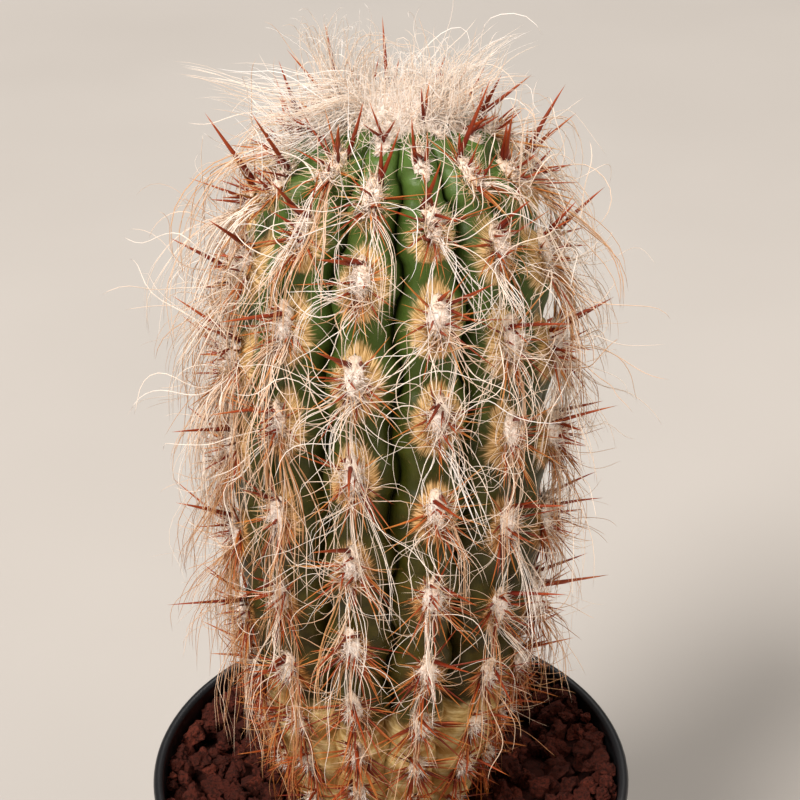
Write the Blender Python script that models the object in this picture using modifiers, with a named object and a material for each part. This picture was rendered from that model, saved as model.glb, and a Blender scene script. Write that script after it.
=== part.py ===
"""A woolly columnar cactus in a round nursery pot filled with lava grit.

Metres, +Z up. The origin is the middle of the pot's foot, on the surface that the pot stands on.
"""

import math
import random
from collections import namedtuple

import bmesh
import bpy
from mathutils import Matrix, Vector

MM = 0.001
GAP = 0.35 * MM  # clearance between two pieces that touch
UP = Vector((0, 0, 1))

# The pot: a tapered tub with a collar, a rolled rim, a notched foot ring and drain holes.
RIM_RADIUS = 52.5 * MM
RIM_BEAD = 2.2 * MM  # the rolled rim's thickness
POT_HEIGHT = 92 * MM
POT_WALL = 1.2 * MM
COLLAR_HEIGHT = 14 * MM
COLLAR_STEP = 1.2 * MM
COLLAR_BLEND = 2 * MM
FOOT_RADIUS = 37 * MM
FOOT_WIDTH = 4 * MM
FOOT_CHAMFER = 1 * MM
FOOT_LIFT = 3 * MM
FOOT_NOTCH = 7 * MM
NOTCH_HEIGHT = 2.1 * MM
POT_SIDES = 48
DRAIN_HOLES = 8
DRAIN_RADIUS = 3.5 * MM
DRAIN_CIRCLE = 25 * MM
DRAIN_SIDES = 10

# The grit: one body in the pot, with stones standing out of its top.
GRIT_LEVEL = POT_HEIGHT - 5.5 * MM
GRIT_SIDES = 32
GRIT_CROWN = 0.3 * MM  # the top is a little higher round the stem than at the wall
GRIT_INSET = 0.7 * MM  # from the pot's round wall, whose flat sides lie inside the circle
STONE_RADIUS = (3.9 * MM, 5.0 * MM)
STONE_FLATNESS = (0.72, 0.95)
STONE_TILT = 0.35
STONE_SPACING = 8.5 * MM
STONE_TOP = 2.7 * MM  # above the grit's level
STONE_SCATTER = 0.5 * MM
STONE_CLEARANCE = 1 * MM
ROOT_DEPTH = 25 * MM
ROOT_CLEARANCE = 0.6 * MM

# The stem: its outline through the rib crests, as (radius, height above the grit).
CREST_LINE_MM = (
    (0, 159), (8, 158.2), (15, 155.6), (21, 151), (26, 144.4), (29.3, 135.5), (31.4, 124), (32.6, 111),
    (33, 96), (32.9, 80), (32.1, 64), (30.3, 49), (27.8, 36), (25.3, 25), (22.8, 14), (20.4, 5.5),
    (17.6, -1), (13.5, -9), (8.5, -17), (3.5, -23), (0, -ROOT_DEPTH / MM),
)
STEM_FOOT = Vector((-1.8 * MM, 0, GRIT_LEVEL))  # the stem stands a little left of the pot's middle
STEM_LEAN = 0.022  # and leans back to the right, as a slope
RIBS = 13
FIRST_RIB_DEG = -102.6
RIB_DEPTH = 6.8 * MM
RIB_FULLNESS = 0.6  # the power that makes the ribs round and the furrows between them narrow
RIB_START = 34 * MM  # along the stem: the ribs rise out of the crown up to here
RIB_FADE = (-18 * MM, 46 * MM)  # above the grit: the ribs fade into the corky foot between these
RIB_AT_FOOT = 0.08  # what is left of their depth there
NOTCH_DEPTH = 2.4 * MM  # the dips between the areoles of a rib
COLUMNS_PER_RIB = 4
ROWS_ABOVE = 29
ROWS_BELOW = 3

# The areoles climb the ribs in a golden-angle spiral: each is 8 ribs on from the last one.
RIB_STEP = 8
FIRST_AREOLE = 17 * MM  # along the stem from its tip
FIRST_AREOLE_RIB = 9
PITCH_TIP = 9 * MM  # the spacing along a rib at the tip, where it grows fast to that of the middle
PITCH_GROWTH = 14 * MM
PITCH_MIDDLE = 20 * MM
PITCH_FOOT = 12.5 * MM
CROWDED_FOOT = (20 * MM, 75 * MM)  # above the grit: the spacing grows from the foot's to the middle's
LOWEST_AREOLE = 5 * MM  # above the grit

# What grows from an areole: three-sided spines, and hairs gathered in a lock.
Spike = namedtuple("Spike", "shortest longest width")
SPIKE_SIDES = 3
SPIKE_SINK = 1.6 * MM
CENTRAL = Spike(13 * MM, 18 * MM, 1.5 * MM)
RADIAL = Spike(8 * MM, 11 * MM, 1.05 * MM)
RADIAL_TURNS_DEG = (100, 260)  # from straight up the rib
RADIAL_RISE = (0.5, 0.8)
LOCK = Spike(12 * MM, 17 * MM, 1.6 * MM)
LOCK_DROOP = (0.65, 1.0)
YOUNG_TILT = -1.1  # the crown's central spines lean away from the tip
CLEAR_OF_GRIT = 3.4 * MM

# The wool on the crown.
WOOL_RADIUS = 14 * MM
WOOL_HEIGHT = 5 * MM
WOOL_EDGE = 0.6 * MM
WOOL_COLUMNS, WOOL_ROWS = 18, 8
WOOL_LOCKS = 60
WOOL_LOCK = Spike(12 * MM, 20 * MM, 2.0 * MM)
WOOL_LEAN_DEG = (6, 66)  # from upright in the middle to splayed at the edge
WOOL_ROOTS = 10 * MM  # how far from the middle the locks are rooted
GOLDEN_ANGLE = math.pi * (3 - math.sqrt(5))


def clear_scene():
    for obj in list(bpy.data.objects):
        bpy.data.objects.remove(obj)


def new_collection(name):
    collection = bpy.data.collections.new(name)
    bpy.context.scene.collection.children.link(collection)
    return collection


def material(name, colour, roughness):
    made = bpy.data.materials.new(name)
    made.use_nodes = True
    shader = made.node_tree.nodes["Principled BSDF"]
    shader.inputs["Base Color"].default_value = (*colour, 1)
    shader.inputs["Roughness"].default_value = roughness
    made.diffuse_color = (*colour, 1)
    return made


def object_from(name, bm, collection, look=None):
    """An object that holds this bmesh, which is then freed."""
    mesh = bpy.data.meshes.new(name)
    bm.to_mesh(mesh)
    bm.free()
    obj = bpy.data.objects.new(name, mesh)
    if look:
        mesh.materials.append(look)
    collection.objects.link(obj)
    return obj


def turned(name, profile, steps, collection, look=None):
    """A Screw of a profile of (radius, height) that starts and ends on the axis."""
    bm = bmesh.new()
    verts = [bm.verts.new((radius, 0, height)) for radius, height in profile]
    for first, second in zip(verts, verts[1:]):
        bm.edges.new((first, second))
    obj = object_from(name, bm, collection, look)
    screw = obj.modifiers.new("turn", "SCREW")
    screw.steps = steps
    screw.render_steps = steps
    screw.use_merge_vertices = True
    screw.merge_threshold = 0.01 * MM
    screw.use_smooth_shade = True
    return obj


def apply_modifiers(obj):
    """Makes the evaluated mesh the object's own."""
    graph = bpy.context.evaluated_depsgraph_get()
    mesh = bpy.data.meshes.new_from_object(obj.evaluated_get(graph))
    obj.modifiers.clear()
    obj.data = mesh


def join_all(obj, pieces):
    """One Boolean union of an object with a collection, applied, and the collection's objects removed."""
    union = obj.modifiers.new("grown_on", "BOOLEAN")
    union.operation = "UNION"
    union.operand_type = "COLLECTION"
    union.collection = pieces
    union.solver = "MANIFOLD"
    apply_modifiers(obj)
    for piece in list(pieces.objects):
        bpy.data.objects.remove(piece)
    bpy.data.collections.remove(pieces)


def cut(obj, cutter):
    difference = obj.modifiers.new(cutter.name, "BOOLEAN")
    difference.operation = "DIFFERENCE"
    difference.object = cutter
    cutter.hide_render = True
    cutter.display_type = "WIRE"


def around(angle, radius=1.0, height=0.0):
    """The point at this angle and distance from the axis."""
    return Vector((radius * math.cos(angle), radius * math.sin(angle), height))


def ramp(value, start, end):
    """0 up to start, 1 from end on, and smooth between them."""
    t = min(max((value - start) / (end - start), 0.0), 1.0)
    return t * t * (3 - 2 * t)


def pot_outer_radius(height):
    """The tapered wall's outer radius, below the collar."""
    top_radius = RIM_RADIUS - RIM_BEAD / 2 - COLLAR_STEP
    return FOOT_RADIUS + (top_radius - FOOT_RADIUS) * height / (POT_HEIGHT - COLLAR_HEIGHT)


def pot_inner_radius(height):
    """The wall's inner radius: the collar is a little wider than the tapered wall below it."""
    if height >= POT_HEIGHT - COLLAR_HEIGHT:
        return RIM_RADIUS - RIM_BEAD / 2 - POT_WALL
    return pot_outer_radius(height) - POT_WALL


def pot_profile():
    """From the middle of the inside, up over the rim, and down to the middle of the underside."""
    floor = FOOT_LIFT + POT_WALL
    collar = POT_HEIGHT - COLLAR_HEIGHT
    wall = RIM_RADIUS - RIM_BEAD / 2
    inside = [
        (0, floor),
        (pot_inner_radius(floor), floor),
        (pot_inner_radius(collar - COLLAR_BLEND), collar - COLLAR_BLEND),
        (pot_inner_radius(collar), collar + COLLAR_BLEND / 2),
    ]
    bead = []
    for degrees in (200, 155, 110, 70, 35, 0, -35):
        on_bead = around(math.radians(degrees), RIM_BEAD / 2)
        bead.append((wall + on_bead.x, POT_HEIGHT - RIM_BEAD / 2 + on_bead.y))
    outside = [
        (wall, POT_HEIGHT - 1.6 * RIM_BEAD),
        (wall, collar),
        (pot_outer_radius(collar), collar - COLLAR_BLEND),
        (FOOT_RADIUS, FOOT_CHAMFER),
        (FOOT_RADIUS - FOOT_CHAMFER, 0),
        (FOOT_RADIUS - FOOT_WIDTH, 0),
        (FOOT_RADIUS - FOOT_WIDTH - FOOT_CHAMFER, FOOT_LIFT),
        (0, FOOT_LIFT),
    ]
    return inside + bead + outside


def make_drain_holes(cutters):
    bm = bmesh.new()
    for hole in range(DRAIN_HOLES):
        middle = around(math.tau * (hole + 0.5) / DRAIN_HOLES, DRAIN_CIRCLE, FOOT_LIFT)
        bmesh.ops.create_cone(
            bm, cap_ends=True, segments=DRAIN_SIDES, radius1=DRAIN_RADIUS, radius2=DRAIN_RADIUS,
            depth=4 * POT_WALL, matrix=Matrix.Translation(middle),
        )
    return object_from("drain_holes", bm, cutters)


def make_foot_notch(degrees, cutters):
    """A bar across the whole foot, which cuts the foot ring on both sides."""
    bm = bmesh.new()
    size = Matrix.Diagonal((3 * FOOT_RADIUS, FOOT_NOTCH, 2 * NOTCH_HEIGHT, 1))
    bmesh.ops.create_cube(bm, size=1, matrix=Matrix.Rotation(math.radians(degrees), 4, "Z") @ size)
    return object_from(f"foot_notch_{degrees}", bm, cutters)


def make_pot(parts, cutters):
    look = material("black_plastic", (0.022, 0.024, 0.027), 0.42)
    pot = turned("pot", pot_profile(), POT_SIDES, parts, look)
    cut(pot, make_drain_holes(cutters))
    for degrees in (45, 135):
        cut(pot, make_foot_notch(degrees, cutters))


class CrestLine:
    """The stem's outline as a smooth curve, measured along from the tip."""

    STEPS = 400

    def __init__(self, points):
        self.radius, self.height, self.length = [], [], [0.0]
        for k in range(self.STEPS + 1):
            radius, height = self.smooth(points, k / self.STEPS * (len(points) - 1))
            self.radius.append(radius)
            self.height.append(height)
        for k in range(self.STEPS):
            run, fall = self.radius[k + 1] - self.radius[k], self.height[k + 1] - self.height[k]
            self.length.append(self.length[-1] + math.hypot(run, fall))

    @staticmethod
    def smooth(points, place):
        """The Catmull-Rom curve through the points, at a place counted in points."""
        k = min(int(place), len(points) - 2)
        t = place - k
        before, after = points[max(k - 1, 0)], points[min(k + 2, len(points) - 1)]
        result = []
        for a, b, c, d in zip(before, points[k], points[k + 1], after):
            square, cube = 2 * a - 5 * b + 4 * c - d, 3 * b - a - 3 * c + d
            result.append(0.5 * (2 * b + (c - a) * t + square * t**2 + cube * t**3) * MM)
        return max(result[0], 0.0), result[1]

    def at(self, along):
        """(radius, height above the grit, outward normal as (radial, upward)) at a length along."""
        along = min(max(along, 0.0), self.length[-1])
        low, high = 0, self.STEPS
        while high - low > 1:
            middle = (low + high) // 2
            low, high = (middle, high) if self.length[middle] <= along else (low, middle)
        t = (along - self.length[low]) / (self.length[high] - self.length[low])
        run, fall = self.radius[high] - self.radius[low], self.height[high] - self.height[low]
        normal = Vector((-fall, run)).normalized()
        return self.radius[low] + t * run, self.height[low] + t * fall, normal

    def along_at(self, height):
        """The length along at which the outline comes down to this height."""
        return next(along for along, h in zip(self.length, self.height) if h <= height)


CREST = CrestLine(CREST_LINE_MM)
ALONG_TO_GRIT = CREST.along_at(0)


def pitch_at(along):
    """The spacing of the areoles on a rib: close together at the tip and again near the foot."""
    near_tip = math.exp(-max(along - FIRST_AREOLE, 0) / PITCH_GROWTH)
    grown = PITCH_MIDDLE + (PITCH_TIP - PITCH_MIDDLE) * near_tip
    return PITCH_FOOT + (grown - PITCH_FOOT) * ramp(CREST.at(along)[1], *CROWDED_FOOT)


def areole_spiral():
    """[(rib, length along from the tip)] of every areole, from the crown down."""
    found = []
    along, rib = FIRST_AREOLE, FIRST_AREOLE_RIB
    while along < ALONG_TO_GRIT - LOWEST_AREOLE:
        found.append((rib, along))
        along += pitch_at(along) / RIBS
        rib = (rib + RIB_STEP) % RIBS
    return found


AREOLES = areole_spiral()


def bump(rib, along):
    """1 on an areole and 0 midway between two, along a rib."""
    nearest = min((place for r, place in AREOLES if r == rib), key=lambda place: abs(place - along))
    return math.cos(min(abs(along - nearest) / pitch_at(nearest), 0.5) * math.pi) ** 2


def rib_depth(along):
    """How deep the furrows are: shallow on the crown, deep in the middle, and almost gone at the foot."""
    above_foot = ramp(CREST.at(along)[1], *RIB_FADE)
    share = RIB_AT_FOOT + (1 - RIB_AT_FOOT) * above_foot
    return RIB_DEPTH * min(along / RIB_START, 1.0) * share


def stem_point(angle, along):
    """A point of the ribbed surface of the upright stem."""
    crest, height, _ = CREST.at(along)
    turns = (math.degrees(angle) - FIRST_RIB_DEG) / 360 * RIBS
    rib = round(turns)
    across = math.cos((turns - rib) * math.pi)  # 1 on a rib's crest and 0 in a furrow
    depth = min(rib_depth(along), crest / 2)
    notch = NOTCH_DEPTH * depth / RIB_DEPTH * (1 - bump(rib % RIBS, along)) * across**2
    return around(angle, crest - depth * (1 - across**RIB_FULLNESS) - notch, height)


def on_stem(point):
    """Puts a point of the upright stem where the leaning stem has it."""
    return point + STEM_FOOT + Vector((STEM_LEAN * max(point.z, 0.0), 0, 0))


def row_along(row):
    """Where the stem's rings lie: close above the grit, wide below it."""
    if row <= ROWS_ABOVE:
        return ALONG_TO_GRIT * row / ROWS_ABOVE
    return ALONG_TO_GRIT + (CREST.length[-1] - ALONG_TO_GRIT) * (row - ROWS_ABOVE) / ROWS_BELOW


def make_stem_body(parts, look):
    """A UV sphere whose rings slide down the crest line and whose columns follow the ribs."""
    rows = ROWS_ABOVE + ROWS_BELOW
    turn = Matrix.Rotation(math.radians(FIRST_RIB_DEG), 4, "Z")
    bm = bmesh.new()
    bmesh.ops.create_uvsphere(
        bm, u_segments=RIBS * COLUMNS_PER_RIB, v_segments=rows, radius=1, matrix=turn
    )
    for vert in bm.verts:
        row = round(math.acos(min(max(vert.co.z, -1), 1)) / math.pi * rows)
        vert.co = on_stem(stem_point(math.atan2(vert.co.y, vert.co.x), row_along(row)))
    return object_from("stem", bm, parts, look)


def grow_spike(root, direction, length, width, bend, collection):
    """A thin cone of few sides. Where it has a bend, that moves its tip, and it curves towards it."""
    bm = bmesh.new()
    bmesh.ops.create_cone(
        bm, cap_ends=True, segments=SPIKE_SIDES, radius1=width / 2, radius2=0, depth=length,
        matrix=Matrix.Translation(UP * length / 2),
    )
    bmesh.ops.remove_doubles(bm, verts=bm.verts, dist=0.001 * MM)
    if bend:
        whole = [*bm.verts, *bm.edges, *bm.faces]
        bmesh.ops.bisect_plane(bm, geom=whole, plane_co=UP * length / 2, plane_no=UP)
    turn = direction.to_track_quat("Z", "Y").to_matrix()
    for vert in bm.verts:
        share = vert.co.z / length
        vert.co = root + turn @ vert.co + (bend * share**2 if bend else Vector())
    object_from("spike", bm, collection)


def grow_clear(root, direction, length, width, bend, collection):
    """The same, but one that would reach into the grit grows straight to a point just above it."""
    tip = root + direction * length + (bend or Vector())
    if tip.z < GRIT_LEVEL + CLEAR_OF_GRIT:
        tip.z = GRIT_LEVEL + CLEAR_OF_GRIT
        direction, bend = (tip - root).normalized(), None
    grow_spike(root, direction, length, width, bend, collection)


def grow_areole(rib, along, rng, spikes):
    """One central spine, a radial spine to each side, and one lock of hair that hangs down the rib."""
    angle = math.radians(FIRST_RIB_DEG + 360 * rib / RIBS)
    _, _, normal = CREST.at(along)
    out = around(angle, normal.x, normal.y)
    side = around(angle + math.pi / 2)
    up = out.cross(side)
    root = on_stem(stem_point(angle, along)) - out * SPIKE_SINK
    young = max(0.0, 1 - along / RIB_START)
    slimmer = 1 - 0.25 * young

    tilt = rng.uniform(-0.45, 0.15) + YOUNG_TILT * young
    direction = (out + up * tilt + side * rng.uniform(-0.35, 0.35)).normalized()
    length = rng.uniform(CENTRAL.shortest, CENTRAL.longest)
    grow_clear(root, direction, length, CENTRAL.width * slimmer, None, spikes)

    for degrees in RADIAL_TURNS_DEG:
        turn = math.radians(degrees + rng.uniform(-25, 25))
        spread = up * math.cos(turn) + side * math.sin(turn)
        direction = (out * rng.uniform(*RADIAL_RISE) + spread).normalized()
        length = rng.uniform(RADIAL.shortest, RADIAL.longest)
        grow_clear(root, direction, length, RADIAL.width * slimmer, None, spikes)

    direction = (out + side * rng.uniform(-0.5, 0.5) - up * 0.3).normalized()
    length = rng.uniform(LOCK.shortest, LOCK.longest)
    droop = -UP * length * rng.uniform(*LOCK_DROOP) - out * length * 0.3
    grow_clear(root, direction, length, LOCK.width, droop, spikes)


def make_stem(parts):
    look = material("green_skin", (0.055, 0.14, 0.03), 0.45)
    stem = make_stem_body(parts, look)
    spikes = new_collection("spikes")
    rng = random.Random(5)
    for rib, along in AREOLES:
        grow_areole(rib, along, rng, spikes)
    join_all(stem, spikes)


def grit_profile():
    """From the middle of the top, out to the pot's wall, down it, and back under to the axis."""
    floor = FOOT_LIFT + POT_WALL + GAP
    collar = POT_HEIGHT - COLLAR_HEIGHT
    collar_radius = pot_inner_radius(collar) - GRIT_INSET
    neck = collar - COLLAR_BLEND - GAP
    return [
        (0, GRIT_LEVEL),
        (RIM_RADIUS * 0.6, GRIT_LEVEL + GRIT_CROWN),
        (collar_radius, GRIT_LEVEL - 2 * GRIT_CROWN),
        (collar_radius, collar + COLLAR_BLEND / 2 + GAP),
        (pot_inner_radius(neck) - GRIT_INSET, neck),
        (pot_inner_radius(floor) - GRIT_INSET, floor),
        (0, floor),
    ]


def stone_spots(rng):
    """Places for stones all over the top of the grit: rings of them, each a little out of line."""
    inner = CREST.at(ALONG_TO_GRIT)[0] + STONE_RADIUS[1] + STONE_CLEARANCE
    outer = pot_inner_radius(POT_HEIGHT) - STONE_RADIUS[1] - STONE_CLEARANCE
    last = round((outer - inner) / STONE_SPACING)
    for ring in range(last + 1):
        radius = inner + (outer - inner) * ring / last
        count = round(math.tau * radius / STONE_SPACING)
        scatter = STONE_SCATTER if 0 < ring < last else 0
        for k in range(count):
            angle = math.tau * (k + ring / 2 + rng.uniform(-0.14, 0.14)) / count
            yield around(angle, radius + rng.uniform(-scatter, scatter))


def make_stone(spot, rng, stones):
    """A squashed, tilted ball of twenty flat faces, sunk in the grit up to about its middle."""
    wide, deep = rng.uniform(*STONE_RADIUS), rng.uniform(*STONE_RADIUS)
    high = rng.uniform(*STONE_FLATNESS) * min(wide, deep)
    middle = spot + UP * (GRIT_LEVEL + STONE_TOP - high * rng.uniform(0.85, 1.1))
    spin = Matrix.Rotation(rng.uniform(0, math.tau), 4, "Z")
    tilt = Matrix.Rotation(rng.uniform(-STONE_TILT, STONE_TILT), 4, "X")
    place = Matrix.Translation(middle) @ spin @ tilt @ Matrix.Diagonal((wide, deep, high, 1))
    bm = bmesh.new()
    bmesh.ops.create_icosphere(bm, subdivisions=1, radius=1, matrix=place)
    object_from("stone", bm, stones)


def make_root_hole(cutters):
    """The stem's buried foot, a little larger, with a wide top that keeps the stones off the stem."""
    top = CREST.along_at(2 * STONE_TOP)
    profile = [(0, 2 * STONE_TOP)]
    for along in (top, *(row_along(ROWS_ABOVE + k) for k in range(ROWS_BELOW + 1))):
        radius, height, _ = CREST.at(along)
        profile.append((radius + ROOT_CLEARANCE, height))
    profile[-1] = (0, -ROOT_DEPTH - ROOT_CLEARANCE)
    hole = turned("root_hole", profile, GRIT_SIDES, cutters)
    hole.location = STEM_FOOT
    return hole


def make_grit(parts, cutters):
    look = material("lava_grit", (0.13, 0.045, 0.03), 0.95)
    grit = turned("grit", grit_profile(), GRIT_SIDES, parts, look)
    stones = new_collection("stones")
    rng = random.Random(11)
    for spot in stone_spots(rng):
        make_stone(spot, rng, stones)
    apply_modifiers(grit)
    join_all(grit, stones)
    cut(grit, make_root_hole(cutters))


def make_wool_cap(parts, tip):
    """A flattened ball whose underside follows the crown of the stem, a gap above it."""
    look = material("white_wool", (0.82, 0.74, 0.66), 0.9)
    bm = bmesh.new()
    bmesh.ops.create_uvsphere(bm, u_segments=WOOL_COLUMNS, v_segments=WOOL_ROWS, radius=WOOL_RADIUS)
    for vert in bm.verts:
        skin = CREST.at(vert.co.xy.length)[1] - CREST.height[0] + GAP
        share = vert.co.z / WOOL_RADIUS
        top = WOOL_EDGE + WOOL_HEIGHT * share if share > -0.01 else 0.1 * MM
        vert.co = tip + Vector((*vert.co.xy, skin + top))
    return object_from("crown_wool", bm, parts, look)


def make_crown_wool(parts):
    """A low cap of wool in the crown, with locks that stand up and out of it."""
    tip = on_stem(UP * CREST.height[0])
    wool = make_wool_cap(parts, tip)
    locks = new_collection("locks")
    rng = random.Random(3)
    upright, splayed = WOOL_LEAN_DEG
    for k in range(WOOL_LOCKS):
        share = math.sqrt((k + 0.5) / WOOL_LOCKS)
        away = around(k * GOLDEN_ANGLE)
        lean = math.radians(upright + (splayed - upright) * share + rng.uniform(-6, 6))
        direction = away * math.sin(lean) + UP * math.cos(lean)
        root = tip + away * share * WOOL_ROOTS + UP * WOOL_HEIGHT * 0.35 * (1.2 - share)
        length = rng.uniform(WOOL_LOCK.shortest, WOOL_LOCK.longest)
        sway = Vector((rng.uniform(-1, 1), rng.uniform(-1, 1), rng.uniform(-0.3, 0.6)))
        grow_spike(root, direction, length, WOOL_LOCK.width, sway * 0.16 * length, locks)
    join_all(wool, locks)


def main():
    clear_scene()
    parts = new_collection("potted_cactus")
    cutters = new_collection("cutters")
    make_pot(parts, cutters)
    make_grit(parts, cutters)
    make_stem(parts)
    make_crown_wool(parts)


main()
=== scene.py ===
"""The looks of a woolly columnar cactus in its nursery pot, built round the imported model.

Metres, +Z up, in the model's frame: the origin is the middle of the pot's foot.
The stem's outline, its ribs and its spiral of areoles follow the same rule as in the model.
"""

import itertools
import math
from collections import namedtuple

import bmesh
import bpy
import numpy as np
from mathutils import Matrix, Vector, noise
from mathutils.bvhtree import BVHTree


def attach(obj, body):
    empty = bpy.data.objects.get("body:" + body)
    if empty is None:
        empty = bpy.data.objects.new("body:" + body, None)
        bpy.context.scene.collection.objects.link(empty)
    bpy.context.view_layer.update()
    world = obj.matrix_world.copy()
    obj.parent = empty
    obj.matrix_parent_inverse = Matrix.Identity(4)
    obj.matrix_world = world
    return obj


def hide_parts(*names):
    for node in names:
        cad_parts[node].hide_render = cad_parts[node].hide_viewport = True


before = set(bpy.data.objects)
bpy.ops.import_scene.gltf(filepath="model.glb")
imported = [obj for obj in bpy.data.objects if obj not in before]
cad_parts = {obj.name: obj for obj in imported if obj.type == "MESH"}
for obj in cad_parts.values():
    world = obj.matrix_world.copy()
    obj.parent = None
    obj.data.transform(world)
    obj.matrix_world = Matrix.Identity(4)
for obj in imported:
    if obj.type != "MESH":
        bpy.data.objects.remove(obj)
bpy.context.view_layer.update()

MM = 0.001
TAU = math.tau
UP = np.array((0.0, 0.0, 1.0))
GOLDEN_ANGLE = math.pi * (3 - math.sqrt(5))

# The camera: a long lens that looks down on the plant from the front.
LENS_MM = 87.18
SENSOR_MM = 36
CAMERA_PLACE = (1.97 * MM, -333.6 * MM, 375 * MM)
CAMERA_TILT_DEG = 60.29

# The pot: a tapered tub with a collar, a rolled rim, a notched foot ring and drain holes.
RIM_RADIUS = 52.5 * MM
RIM_BEAD = 2.2 * MM
POT_HEIGHT = 92 * MM
POT_WALL = 1.2 * MM
COLLAR_HEIGHT = 14 * MM
COLLAR_STEP = 1.2 * MM
COLLAR_BLEND = 2 * MM
FOOT_RADIUS = 37 * MM
FOOT_WIDTH = 4 * MM
FOOT_CHAMFER = 1 * MM
FOOT_LIFT = 3 * MM
FOOT_NOTCH = 7 * MM
NOTCH_HEIGHT = 2.1 * MM
WALL_RADIUS = RIM_RADIUS - RIM_BEAD / 2  # the collar's outer radius
COLLAR_LEVEL = POT_HEIGHT - COLLAR_HEIGHT
DRAIN_HOLES = 8
DRAIN_RADIUS = 3.5 * MM
DRAIN_CIRCLE = 25 * MM
POT_STEPS = 144

# The grit: two layers of lava lumps over a bed darkened as painted shade.
GRIT_LEVEL = POT_HEIGHT - 5.5 * MM
GRIT_WALL = 49.9 * MM  # where the lumps meet the pot's wall
BED_DEPTH = 3.8 * MM
STONE_LAYERS = (  # (name, height, smallest and largest radius, count, detail of the ball)
    ("grit_lower_stones", -3.6 * MM, 2.2 * MM, 3.4 * MM, 200, 2),
    ("grit_upper_stones", -1.2 * MM, 1.3 * MM, 3.4 * MM, 350, 3),
)
STONE_CUTS = 6
STONE_NOISE = ((0.42, 0.7), (0.34, 0.36), (0.18, 0.18))  # (how far, size), as shares of the stone's radius
BED_STEPS = 96
WALL_RISE = 1.6 * MM  # the grit's bank along the wall, and how much higher it gets at the back right
BANK_RISE = 2.2 * MM
BANK_WAY = np.array((0.87, 0.5))

# The stem's outline through the rib crests, as (radius, height above the grit).
CREST_LINE_MM = (
    (0, 159), (8, 158.2), (15, 155.6), (21, 151), (26, 144.4), (29.3, 135.5), (31.4, 124), (32.6, 111),
    (33, 96), (32.9, 80), (32.1, 64), (30.3, 49), (27.8, 36), (25.3, 25), (22.8, 14), (20.4, 5.5),
    (17.6, -1), (13.5, -9), (8.5, -17), (3.5, -23), (0, -25),
)
STEM_FOOT = np.array((-1.8 * MM, 0, GRIT_LEVEL))
STEM_LEAN = 0.022
RIBS = 13
FIRST_RIB_DEG = -102.6
RIB_DEPTH = 6.8 * MM
RIB_FULLNESS = 0.6
RIB_START = 28 * MM
RIB_FADE = (0 * MM, 46 * MM)
RIB_AT_FOOT = 0.1
FOLD_DEPTH = 3.6 * MM
FOLD_FADE = (50 * MM, 120 * MM)  # where the folds get shallower, along from the tip
FOLD_AT_FOOT = 0.4  # how much of a fold is left below that
# A fold's darkness is painted shade, as a share of a furrow's.
FOLD_SHADE = 0.45  # how dark a fold is, beside a furrow
FOLD_PLACE = 0.8  # where the fold is, as a share of the way down to the next areole
FURROW_WAVE = 0.18  # how far a furrow bends round the bulges beside it
SKIN_COLUMNS_PER_RIB = 14
SKIN_ROWS = 200
SKIN_BOTTOM = 6 * MM  # how far the skin goes on below the grit's level

# The skin's colours: the first is a height above the grit, the others are lengths along from the tip.
CORK_FADE = (25 * MM, 51 * MM)
YOUNG_SKIN_FADE = (15 * MM, 90 * MM)
# Lower down the skin turns olive and darker: partly its own colour, partly painted shade.
LOWER_OLIVE_AND_SHADE = (50 * MM, 130 * MM)
HALO_START = (20 * MM, 42 * MM)
HALO_SHRINK = (65 * MM, 125 * MM)
HALO_SIZE = (5.2 * MM, 7.4 * MM)  # sideways, and along the rib
HALO_DROP = 2.0 * MM

# The spiral of areoles.
RIB_STEP = 8  # from each areole to the next one of the spiral
FIRST_AREOLE = 17 * MM
FIRST_AREOLE_RIB = 9
PITCH_TIP = 9 * MM
PITCH_GROWTH = 14 * MM
PITCH_MIDDLE = 20 * MM
PITCH_FOOT = 12.5 * MM
CROWDED_FOOT = (20 * MM, 75 * MM)
LOWEST_AREOLE = 5 * MM
BUDS = 9  # young areoles inside the first one, still hidden in the wool
BUD_PITCH = 1.0 * MM
YOUTH_FADE = (18 * MM, 58 * MM)  # along from the tip
AGE_FADE = (12 * MM, 62 * MM)  # above the grit

# Kinds of hair. Left is a further share at the plant's sides; way is out, to the side and up; droop, hug
# and curl are turns per mm; length, hover and wave are mm; tan is how much darker it gets (painted shade on
# the right side).
Hair = namedtuple(
    "Hair", "share length way tan droop curl wave gather left clump hug hover loose shade",
    defaults=(0.0, (1, 3), 0.012, (1, 6), 0.3, (0, 0.3)),
)
CURTAIN = Hair(
    share=0.0, left=5.0, clump=(4, 8), length=(20, 40), way=((0.3, 0.6), (-0.4, 0.4), (-1.2, -0.5)), tan=0.8,
    droop=0.065, hover=(3, 7), curl=0.06, wave=(16, 34), gather=0.4, loose=0.12, shade=(0, 0.5),
)
SKIRT = Hair(
    share=0.3, length=(6, 15), way=((0.4, 0.9), (-1.0, 1.0), (-1.1, 0.0)), tan=1,
    droop=0.03, hover=(1, 4), curl=0.12, wave=(10, 22), gather=0.3, loose=0.22, shade=(0.2, 0.9),
)
ROPE = Hair(
    share=0.15, clump=(4, 8), length=(14, 36), way=((0.3, 0.6), (-0.6, 0.6), (-1.0, -0.2)), tan=0.3,
    droop=0.05, hug=0.06, hover=(1, 3), curl=0.09, wave=(14, 30), gather=0.7, loose=0.11, shade=(0, 0.2),
)
STRAY = Hair(
    share=0.45, clump=(1, 2), length=(12, 26), way=((0.6, 1.1), (-1.0, 1.0), (-0.9, 0.6)), tan=0.5,
    droop=0.022, hover=(2, 8), curl=0.12, wave=(14, 30), gather=0.2, loose=0.2, shade=(0, 0.6),
)
TANGLE = Hair(
    share=0.75, length=(13, 38), way=((0.25, 0.8), (-1.3, 1.3), (-1.0, 0.9)), tan=0.6,
    droop=0.022, hug=0.045, curl=0.13, wave=(13, 30), gather=0.2,
)
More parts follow.
